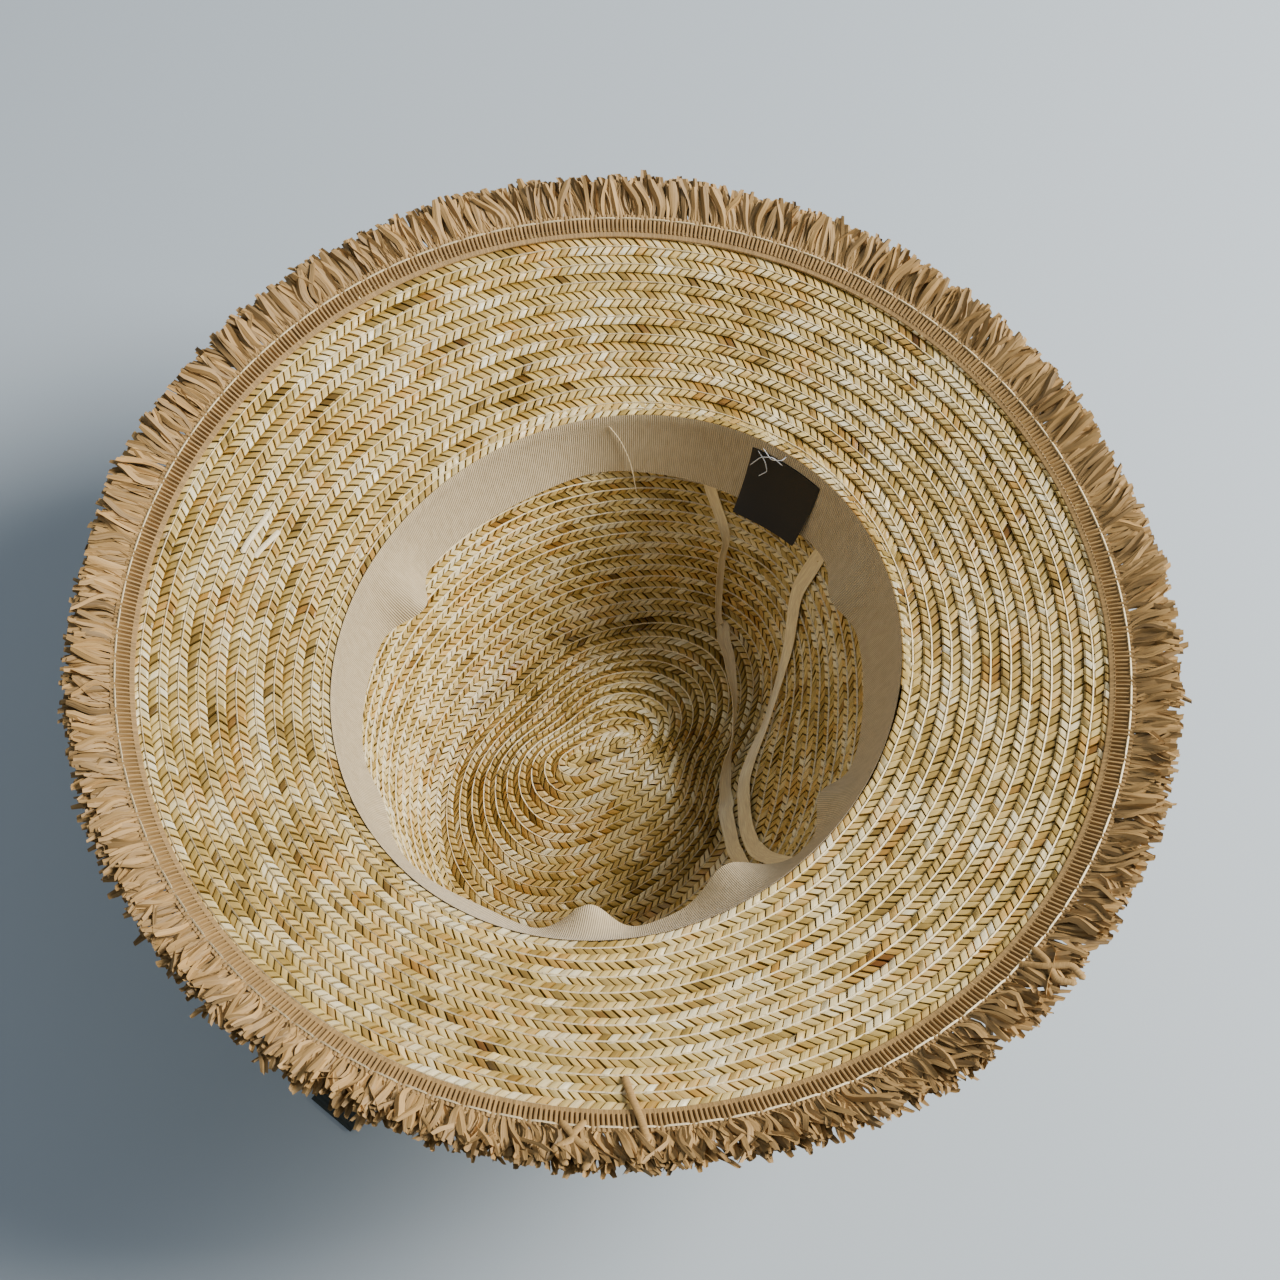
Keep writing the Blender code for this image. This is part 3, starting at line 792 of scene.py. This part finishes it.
class StrawFedoraStage(bpy.types.Operator):
    """Adds the pale floor and the soft light."""

    bl_idname = "fedora.stage"
    bl_label = "Stage"

    def execute(self, context):
        bm = bmesh.new()
        bmesh.ops.create_grid(bm, x_segments=1, y_segments=1, size=12)
        mesh = bpy.data.meshes.new("floor")
        bm.to_mesh(mesh)
        bm.free()
        floor = bpy.data.objects.new("floor", mesh)
        context.scene.collection.objects.link(floor)
        material, tree, shader = fresh_material("pale_floor", 0.7)
        shader.inputs["Base Color"].default_value = (0.42, 0.48, 0.535, 1)
        mesh.materials.append(material)
        world = bpy.data.worlds.new("studio")
        world.use_nodes = True
        world.node_tree.nodes["Background"].inputs["Color"].default_value = (0.8, 0.9, 1, 1)
        world.node_tree.nodes["Background"].inputs["Strength"].default_value = 0.3
        context.scene.world = world
        for name, turn, height, distance, size, power, tint in (
            ("window", 46, 38, 1.6, 0.7, 68, (1.0, 0.97, 0.92)),
            ("fill", 215, 50, 1.8, 1.4, 3, (0.9, 0.95, 1.0)),
        ):
            data = bpy.data.lights.new(name, "AREA")
            data.size = size
            data.energy = power
            data.color = tint
            light = bpy.data.objects.new(name, data)
            level = math.cos(math.radians(height))
            place = distance * Vector((
                level * math.cos(math.radians(turn)), level * math.sin(math.radians(turn)),
                math.sin(math.radians(height)),
            ))
            light.location = place + Vector((0, 0, 0.1))
            light.rotation_euler = place.to_track_quat("Z", "Y").to_euler()
            context.scene.collection.objects.link(light)
        return {"FINISHED"}


def tie_piece(name, route, material, seed):
    """A narrow satin ribbon that twists along its route on the crown."""
    table = np.array(route, float)
    place = np.linspace(0, len(table) - 1, 160)
    first = np.minimum(np.floor(place).astype(int), len(table) - 2)
    rows = [table[np.clip(first + step, 0, len(table) - 1)] for step in (-1, 0, 1, 2)]
    away = (place - first)[:, None]
    turn, share, wide, twist = catmull_rom(*rows, away).T
    middle = smooth_step(np.minimum(4 * np.minimum(place, place[-1] - place) / place[-1], 1))
    normal = -face_normal(crown_face, turn, share)
    lift = 0.9 + 1.3 * middle + 2.2 * np.sin(np.radians(twist)) ** 2
    centre = crown_face(turn, share) + normal * lift[:, None]
    run = unit(np.gradient(centre, axis=0))
    across = unit(np.cross(run, normal))
    up = np.cross(across, run)
    angle = np.radians(twist)[:, None]
    flat = across * np.cos(angle) + up * np.sin(angle)
    thick = np.cross(run, flat)
    spread = np.linspace(-1, 1, 7)
    reach = TIE_HALF_WIDTH * wide[:, None, None]
    sheet = centre[:, None] + flat[:, None] * spread[None, :, None] * reach
    sheet = sheet - thick[:, None] * TIE_CUP * (spread**2)[None, :, None]
    loop = thin_strip(sheet, thick[:, None], TIE_HALF_THICKNESS)
    piece = grid_piece(f"{name}_satin", len(place), loop.shape[1], loop, ring=True)
    finish_piece(piece, material, "cream_satin", name)
    centre = HEAD_SHIFT + centre
    return piece


class StrawFedoraTies(bpy.types.Operator):
    """Adds the two narrow ribbons inside the crown."""

    bl_idname = "fedora.ties"
    bl_label = "Ribbons"

    def execute(self, context):
        satin = plain_material(
            "cream_satin", tuple(context.scene.fedora_colours.satin), 0.32,
            across=0.25, along=1.5, depth=0.1, sheen=0.3, darkest=0.85,
        )
        tie_piece("tie_ribbon_left", TIE_LEFT, satin, 1)
        tie_piece("tie_ribbon_right", TIE_RIGHT, satin, 2)
        return {"FINISHED"}


class StrawFedoraCrown(bpy.types.Operator):
    """Adds the plaited crown, inside and outside."""

    bl_idname = "fedora.crown"
    bl_label = "Crown"

    def execute(self, context):
        sizes = context.scene.fedora_sizes
        cell, height = sizes.cell * 1000, sizes.relief * 1000
        straw = straw_material()
        last = CROWN_END * 360
        inner = plait_piece("crown_plait", crown_row, -360, last, cell, height, 11)
        finish_piece(inner, straw, "wheat_straw", "straw_crown")

        def outside(turn, row):
            return crown_row(turn, row) - CROWN_BACK * face_normal(crown_row, turn, row)

        outer = plait_piece(
            "crown_plait_outside", outside, -360, last, cell, BACK_RELIEF * height, 12,
            side=-1, keep=PLAIN_PLAIT,
        )
        finish_piece(outer, straw, "wheat_straw", "straw_crown")
        thread = thread_piece("crown_seam_thread", crown_row, 120, last, 0.46, 13)
        cream = plain_material("cream_thread", (0.82, 0.68, 0.42), 0.5)
        finish_piece(thread, cream, "wheat_straw")
        return {"FINISHED"}


class StrawFedoraBrim(bpy.types.Operator):
    """Adds the plaited brim, above and below."""

    bl_idname = "fedora.brim"
    bl_label = "Brim"

    def execute(self, context):
        sizes = context.scene.fedora_sizes
        cell, height = sizes.cell * 1000, sizes.relief * 1000
        straw = bpy.data.materials["sewn_straw"]
        last = (1 / BRIM_ROW - 0.9) * 360
        upper = plait_piece("brim_plait", brim_row, -330, last, cell, height, 31)
        finish_piece(upper, straw, "wheat_straw", "straw_brim")

        def under(turn, row):
            return brim_row(turn, row) - BRIM_BACK * face_normal(brim_row, turn, row)

        lower = plait_piece(
            "brim_plait_under", under, -330, last, cell, BACK_RELIEF * height, 32,
            side=-1, keep=PLAIN_PLAIT,
        )
        finish_piece(lower, straw, "wheat_straw", "straw_brim")
        thread = thread_piece("brim_seam_thread", brim_row, -300, last, 0.46, 33)
        finish_piece(thread, bpy.data.materials["cream_thread"], "wheat_straw")
        return {"FINISHED"}


class StrawFedoraSweatband(bpy.types.Operator):
    """Adds the ribbed sweatband and the bare label."""

    bl_idname = "fedora.sweatband"
    bl_label = "Sweatband and label"

    def execute(self, context):
        turns = np.linspace(0, 360, 721)
        shares = np.concatenate((np.linspace(0, 1, 17), np.linspace(1, 0, 9), (0,)))
        offset = np.concatenate((np.ones(17), np.zeros(9), (1,))) * SWEATBAND_THICKNESS
        turn, share = np.meshgrid(turns, shares, indexing="ij")
        normal = face_normal(sweatband_face, turn, share)
        base = sweatband_face(turn, share) - normal * offset[None, :, None]
        base[..., 2] += SWEATBAND_THICKNESS
        band = grid_piece("sweatband_ribbon", *turn.shape, base, ring=True, facet=60)
        beige = tuple(context.scene.fedora_colours.grosgrain)
        grosgrain = ribbed_material("grosgrain", beige, 1.14)
        finish_piece(band, grosgrain, "beige_grosgrain", "sweatband")
        wide = math.degrees(LABEL_HALF_WIDTH / float(opening_radius(90.5)))
        turns = np.linspace(LABEL_TURN - wide, LABEL_TURN + wide, 13)
        shares = np.linspace(*LABEL_SPAN, 13) / SWEATBAND_WIDTH
        turn, share = np.meshgrid(turns, shares, indexing="ij")
        normal = -face_normal(sweatband_face, turn, share)
        hang = 1.1 + 2.2 * share[..., None] ** 2
        middle = sweatband_face(turn, share) + normal * hang
        loop = thin_strip(middle, normal, LABEL_HALF_THICKNESS)
        label = grid_piece("bare_label", *loop.shape[:2], loop, ring=True)
        dark = plain_material("dark_label", (0.004, 0.004, 0.007), 0.6, across=8.0, along=8.0)
        finish_piece(label, dark, "dark_label", "woven_label")
        return {"FINISHED"}


def outward_frame(turn):
    """Outward, sideways and normal directions at the stitch line."""
    outward = unit(brim_face(turn, 1.0) - brim_face(turn, 0.97))
    normal = face_normal(brim_face, turn, np.ones_like(turn))
    aside = np.cross(normal, outward)
    return outward, aside, normal


def fringe_layer(name, count, reach, seed, lift, drop):
    """Loose raffia strips, folded lengthwise, rooted under the stitch line."""
    rng = np.random.default_rng(seed)
    turn = (np.arange(count) + rng.uniform(-0.35, 0.35, count)) * 360 / count
    outward, aside, normal = outward_frame(turn)
    steps = np.linspace(0, 1, 7)
    arc = turn * 3
    clump = wander(arc, seed + 1, 11)
    curly = np.clip(np.cos(np.radians(turn + 51)), 0, 1)
    lean = 0.12 + 0.26 * clump + rng.normal(0, 0.1, count)
    long = reach * (1 + 0.07 * wander(arc, seed + 2, 25) + rng.normal(0, 0.06, count))
    rise = lift + rng.normal(0, 0.08, count)
    curl = rng.normal(0, 0.25, count) * (0.4 + 1.4 * curly)
    wide = rng.uniform(0.8, 1.35, count)
    fold = rng.uniform(0.3, 0.9, count) * rng.choice((-1, 1), count)
    twist = rng.normal(0, 0.3, count) * (1 + curly)
    bend = rng.normal(0, 0.07, count) * (1 + curly)
    v = steps[None]
    along = long[:, None] * (v - 0.06 * v**3)
    side = long[:, None] * (lean[:, None] * v + bend[:, None] * np.sin(v * math.pi * 1.4))
    high = long[:, None] * (rise[:, None] * v - drop * v**2 + 0.1 * curl[:, None] * np.sin(v * 5))
    root = brim_face(turn, 1.0) - outward * 0.6 + normal * 0.9
    centre = (
        root[:, None] + outward[:, None] * along[..., None] + aside[:, None] * side[..., None]
        + normal[:, None] * high[..., None]
    )
    swell = 0.42 + 0.85 * np.sin(np.minimum(v * 1.15, 1) * math.pi / 2)
    width = wide[:, None] * swell * (1 - 0.4 * v**8)
    roll = twist[:, None] * v + rng.normal(0, 0.25, count)[:, None]
    cos, sin = np.cos(roll)[..., None], np.sin(roll)[..., None]
    flat = aside[:, None] * cos + normal[:, None] * sin
    crest = normal[:, None] * cos - aside[:, None] * sin
    places = np.empty((count, 3, len(steps), 3))
    for item, spread in enumerate((-1, 0, 1)):
        places[:, item] = centre + flat * (spread * width)[..., None]
        if spread == 0:
            places[:, item] += crest * (fold[:, None] * width)[..., None]
    tone = np.clip(0.55 + 0.15 * wander(arc, seed + 3, 9) + rng.normal(0, 0.2, count), 0, 1)
    tones = np.repeat(np.repeat(tone, 3)[:, None], len(steps), 1)
    tones = tones * (1 - 0.35 * np.repeat(curly, 3)[:, None] * steps[None] ** 2)
    facts = {"tone": tones}
    skip = np.arange(count * 3) % 3 == 2
    return grid_piece(
        name, count * 3, len(steps), places.reshape(count * 3, len(steps), 3), skip=skip,
        facet=35, facts=facts, facing=np.repeat(np.repeat(normal, 3, 0)[:, None], len(steps), 1),
    )


def raffia_material(colour):
    material, tree, shader = fresh_material("paper_raffia", 0.62)
    tone = node(tree, "ShaderNodeAttribute", attribute_name="tone")
    _, fibre = fibres_on(tree, 3.0, 0.25)
    shade = ramp(tree, tone.outputs["Fac"], (
        (0.0, shaded(colour, 0.5)), (0.5, colour), (1.0, shaded(colour, 1.45)),
    ))
    tint = ramp(tree, fibre, ((0.3, (0.62, 0.58, 0.52)), (0.65, (1, 1, 1))))
    tree.links.new(multiply(tree, shade, tint, 0.85), shader.inputs["Base Color"])
    bump_on(tree, shader, fibre, 0.6)
    return material


class StrawFedoraFringe(bpy.types.Operator):
    """Adds the header tape and the raffia fringe."""

    bl_idname = "fedora.fringe"
    bl_label = "Fringe"

    def execute(self, context):
        sizes = context.scene.fedora_sizes
        raffia = raffia_material(tuple(context.scene.fedora_colours.raffia))
        reach = sizes.fringe_reach * 1000
        count = sizes.fringe_strips
        for name, long, seed, lift in (
            ("raffia_upper", 0.97, 51, 0.2), ("raffia_middle", 1.0, 56, 0.1),
            ("raffia_lower", 1.03, 61, 0.0),
        ):
            layer = fringe_layer(name, count, reach * long, seed, lift, 0.1)
            finish_piece(layer, raffia, "tan_raffia", "raffia_fringe")
        columns = HEADER_LOOPS * 3 + 1
        index = np.arange(columns)
        turns = index * 360 / (columns - 1)
        # The tape's outline from its outer edge to its inner one, low between its loops
        shares = np.array((1.02, 1.02, 1.0, 0.975, 0.955, 0.935, 0.932, 0.912, 0.908, 0.908))
        low = np.array((0.2, 0.8, 0.8, 0.3, 0.1, 0.4, 1.0, 1.0, 0.8, -0.4))
        crest = np.array((0.2, 1.0, 1.3, 1.35, 1.35, 1.3, 1.05, 1.0, 0.8, -0.4))
        turn, share = np.meshgrid(turns, shares, indexing="ij")
        lift = np.where((index % 3 == 0)[:, None], low[None], crest[None]) + 0.5
        base = brim_face(turn, share) + face_normal(brim_face, turn, share) * lift[..., None]
        rng = np.random.default_rng(71)
        # The tape's own tone varies at random; its slopes down into the low places between its
        # loops are painted darker than the loop tops, as painted shade
        tone = np.clip(0.5 + rng.normal(0, 0.12, columns), 0, 1) * np.where(index % 3 == 1, 1, 0.75)
        tape = grid_piece(
            "fringe_header", columns, len(shares), base, ring=True, facet=30,
            facts={"tone": np.repeat(tone[:, None], len(shares), 1)},
        )
        finish_piece(tape, raffia, "tan_raffia", "raffia_fringe")
        steps = np.arange(0, 360.01, 0.25)
        stitch = np.clip(np.sin(np.radians(steps) * 108) * 3 + 2, -0.3, 1)
        offsets = np.array((-0.0045, 0.0, 0.0045))
        turn, share = np.meshgrid(steps, 1.0 + offsets, indexing="ij")
        high = np.array((1.5, 1.95, 1.5))[None] + 0.4 * (stitch[:, None] - 1) + 0.3
        base = brim_face(turn, share) + face_normal(brim_face, turn, share) * high[..., None]
        line = grid_piece("fringe_stitches", len(steps), 3, base, ring=True)
        finish_piece(line, bpy.data.materials["cream_thread"], "tan_raffia")
        return {"FINISHED"}


def strip_piece(name, face, route, half, material, slot, side=1, fold=0.35, steps=24):
    """A loose strip or thread along a route of turn, share and height over a face."""
    table = np.array(route, float)
    place = np.linspace(0, len(table) - 1, steps)
    knots = np.arange(len(table))
    turn, share, lift = (np.interp(place, knots, table[:, item]) for item in range(3))
    centre = face(turn, share) + side * face_normal(face, turn, share) * lift[:, None]
    for _ in range(2):
        centre[1:-1] = (centre[:-2] + 2 * centre[1:-1] + centre[2:]) / 4
    normal = side * face_normal(face, turn, share)
    run = unit(np.gradient(centre, axis=0))
    across = unit(np.cross(run, normal))
    up = np.cross(across, run)
    ends = np.ones((steps, 1))
    ends[0] = ends[-1] = 0.3
    loop = [
        centre + across * half * ends * math.cos(angle) + up * half * fold * ends * math.sin(angle)
        for angle in np.linspace(0, 2 * math.pi, 9)
    ]
    piece = grid_piece(
        name, steps, 9, np.stack(loop, 1), ring=True, facet=50,
        facts={"tone": np.full((steps, 9), 0.62), "amber": np.full((steps, 9), 0.3)},
    )
    return finish_piece(piece, material, slot)


class StrawFedoraLooseEnds(bpy.types.Operator):
    """Adds the few loose threads and straws that wear has pulled out."""

    bl_idname = "fedora.loose_ends"
    bl_label = "Loose ends"

    def execute(self, context):
        materials = bpy.data.materials
        cream, raffia = materials["cream_thread"], materials["paper_raffia"]
        white = plain_material("white_thread", (0.85, 0.86, 0.9), 0.6)
        for index, route in enumerate(LABEL_THREADS):
            strip_piece(
                f"label_thread_{index}", sweatband_face, route, 0.16, white, "dark_label",
                side=-1, fold=1.0,
            )
        strip_piece(
            "sweatband_thread", sweatband_face, SWEATBAND_THREAD, 0.17, cream,
            "beige_grosgrain", side=-1, fold=1.0, steps=30,
        )
        for index, route in enumerate(LOOSE_RAFFIA):
            strip_piece(
                f"loose_raffia_{index}", brim_face, route, 1.1, raffia, "tan_raffia", fold=0.5,
            )
        for index, route in enumerate(STRAW_SPLICES):
            strip_piece(
                f"straw_splice_{index}", brim_face, route, 0.9, cream, "wheat_straw", fold=0.4,
            )
        return {"FINISHED"}


class StrawFedoraHatBand(bpy.types.Operator):
    """Adds the plain ribbon round the outside of the crown, with its tail."""

    bl_idname = "fedora.hat_band"
    bl_label = "Hat band"

    def execute(self, context):
        dark = ribbed_material("dark_ribbon", tuple(context.scene.fedora_colours.hat_band), 1.3)
        outer, inner = BAND_FACES
        turns = np.linspace(0, 360, 721)
        shares = np.concatenate((np.linspace(0, 1, 9), np.linspace(1, 0, 9), (0,)))
        lift = np.concatenate((np.full(9, outer), np.full(9, inner), (outer,)))
        turn, share = np.meshgrid(turns, shares, indexing="ij")
        wall = wall_share(turn, BAND_START + BAND_WIDTH * share)
        base = crown_face(turn, wall) + face_normal(crown_face, turn, wall) * lift[None, :, None]
        band = grid_piece("hat_band_ribbon", len(turns), len(shares), base, ring=True, facet=60)
        finish_piece(band, dark, "dark_ribbon", "hat_band")
        middle = BAND_START + BAND_WIDTH / 2
        start = -float(crown_face(270, wall_share(270, middle))[1]) + TAIL_LIFT
        form = np.array(TAIL_FORM)
        place = np.linspace(0, len(form) - 1, 73)
        out = start + np.interp(place, np.arange(len(form)), form[:, 0]) * (TAIL_END - start)
        rise = np.interp(place, np.arange(len(form)), form[:, 1]) * (HEAD_SHIFT[2] - middle)
        for values in (out, out, rise, rise):
            values[1:-1] = (values[:-2] + 2 * values[1:-1] + values[2:]) / 4
        centre = np.stack((0 * out, -out, rise - HEAD_SHIFT[2]), -1)
        aside = np.array((1.0, 0.0, 0.0))
        thick = np.cross(unit(np.gradient(centre, axis=0)), aside)
        across = np.linspace(-TAIL_HALF_WIDTH, TAIL_HALF_WIDTH, 9)
        sheet = centre[:, None] + across[None, :, None] * aside
        loop = thin_strip(sheet, -thick[:, None], TAIL_HALF_THICKNESS)
        tail = grid_piece("band_tail_ribbon", len(place), loop.shape[1], loop, ring=True, facet=60)
        finish_piece(tail, dark, "dark_ribbon", "band_tail")
        return {"FINISHED"}


class StrawFedoraPanel(bpy.types.Panel):
    bl_idname = "VIEW3D_PT_straw_fedora"
    bl_label = "Straw Fedora"
    bl_space_type = "VIEW_3D"
    bl_region_type = "UI"
    bl_category = "Straw Fedora"

    def draw(self, context):
        for group in (context.scene.fedora_sizes, context.scene.fedora_colours):
            for key in group.__annotations__:
                self.layout.prop(group, key)
        for step in STEPS:
            self.layout.operator(step.bl_idname)


STEPS = (
    StrawFedoraCamera, StrawFedoraTies, StrawFedoraCrown, StrawFedoraBrim, StrawFedoraSweatband,
    StrawFedoraFringe, StrawFedoraHatBand, StrawFedoraLooseEnds, StrawFedoraStage,
)
CLASSES = (StrawFedoraSizes, StrawFedoraColours, *STEPS, StrawFedoraPanel)


def register():
    for each in CLASSES:
        bpy.utils.register_class(each)
    bpy.types.Scene.fedora_sizes = bpy.props.PointerProperty(type=StrawFedoraSizes)
    bpy.types.Scene.fedora_colours = bpy.props.PointerProperty(type=StrawFedoraColours)


def unregister():
    del bpy.types.Scene.fedora_sizes
    del bpy.types.Scene.fedora_colours
    for each in reversed(CLASSES):
        bpy.utils.unregister_class(each)


def main():
    register()
    for step in STEPS:
        group, name = step.bl_idname.split(".")
        getattr(getattr(bpy.ops, group), name)()


if __name__ == "__main__":
    main()
